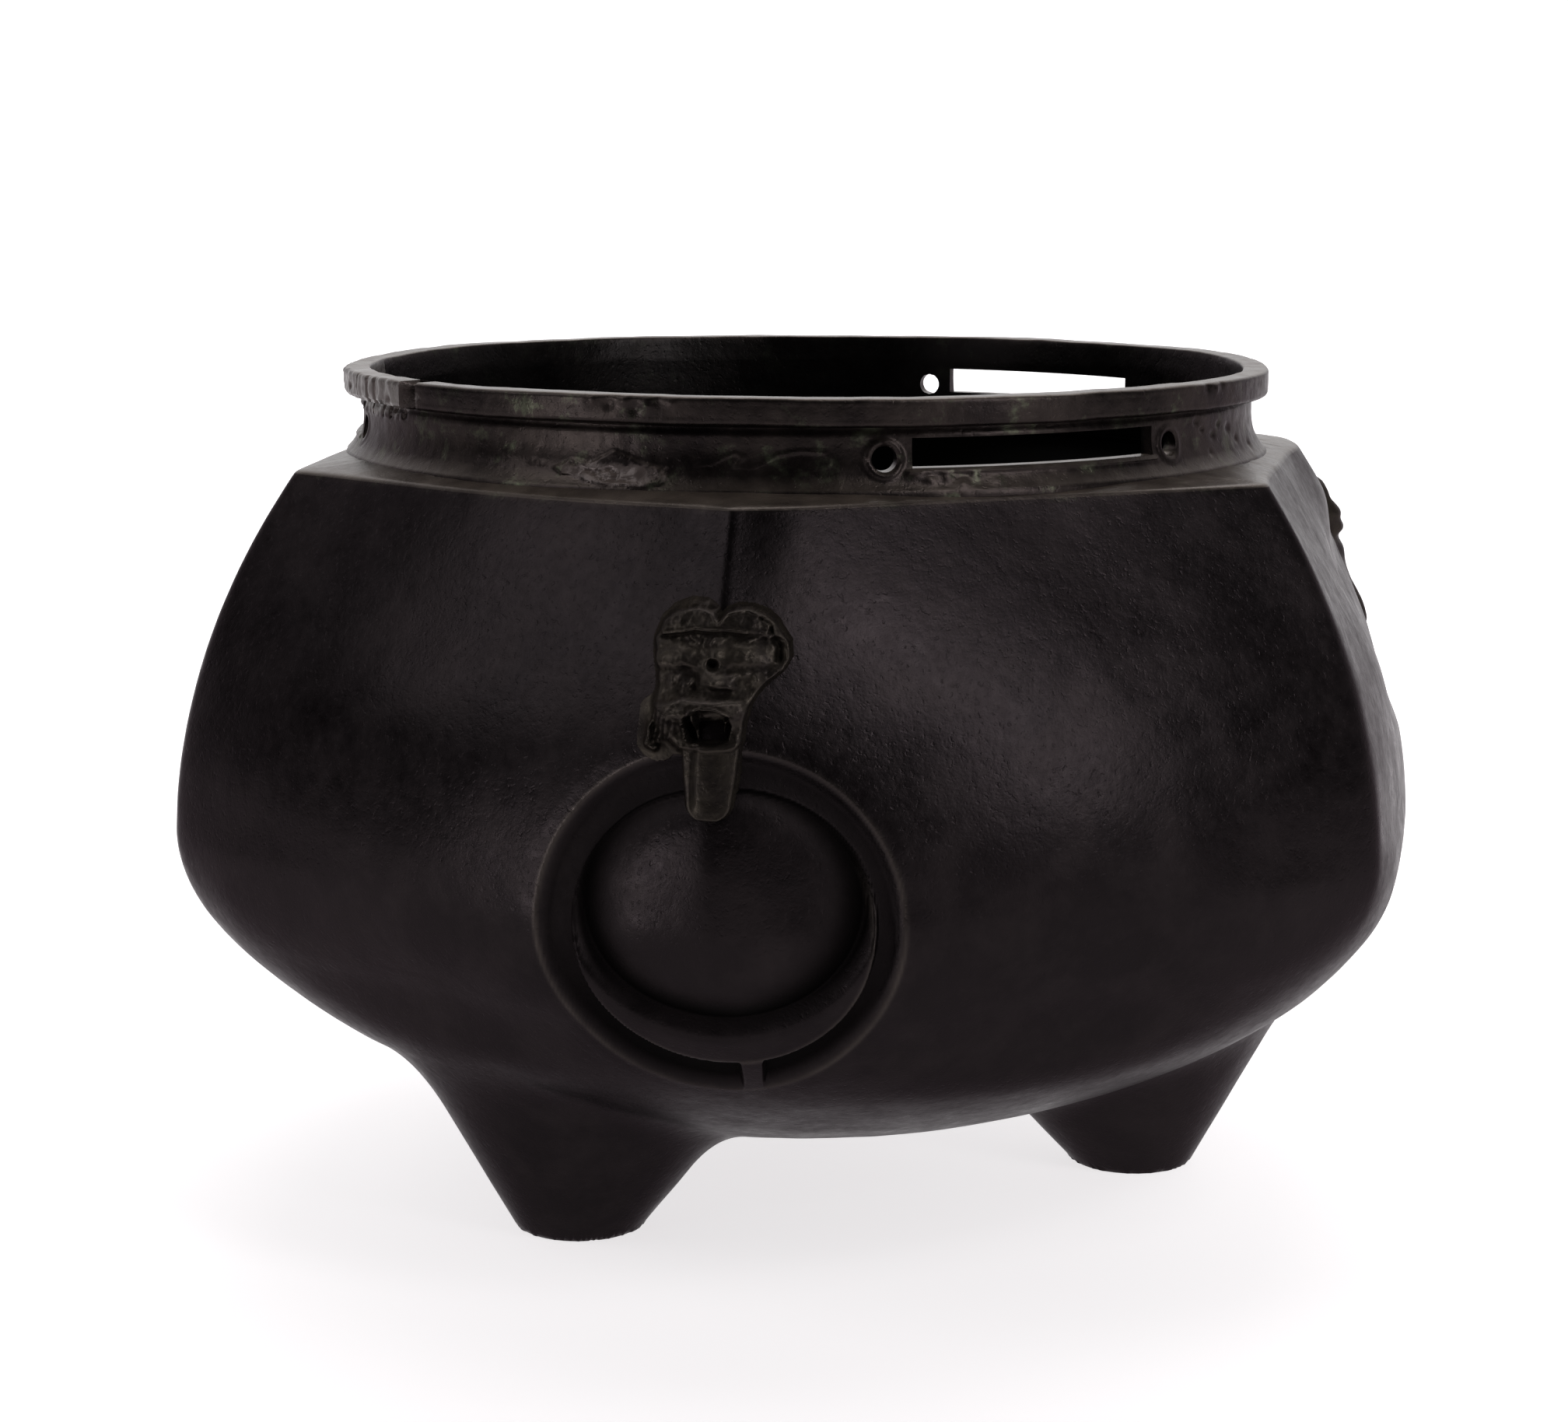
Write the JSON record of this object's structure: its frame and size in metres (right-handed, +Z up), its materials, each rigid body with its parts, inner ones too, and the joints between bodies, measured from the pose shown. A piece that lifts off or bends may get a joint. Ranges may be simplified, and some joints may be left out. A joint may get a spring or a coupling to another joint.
{
  "type": "brazier",
  "caption": "Hexagonal cast bronze brazier with a pierced round neck, demon-mask corner lugs over sunken ring grooves, and short stub feet.",
  "frame": {"origin": "on the neck's vertical axis, at the level of the foot soles", "axes": "+Z up, -Y towards the corner with the front mask, +X to its right as seen from the front"},
  "size_m": [0.3064, 0.3282, 0.2046],
  "materials": {
    "bronze": "dark brown-black patinated cast bronze, satin, worn paler on the shoulder and edges"
  },
  "bodies": {
    "root": {"brazier_body": "bronze"}
  },
  "joints": []
}
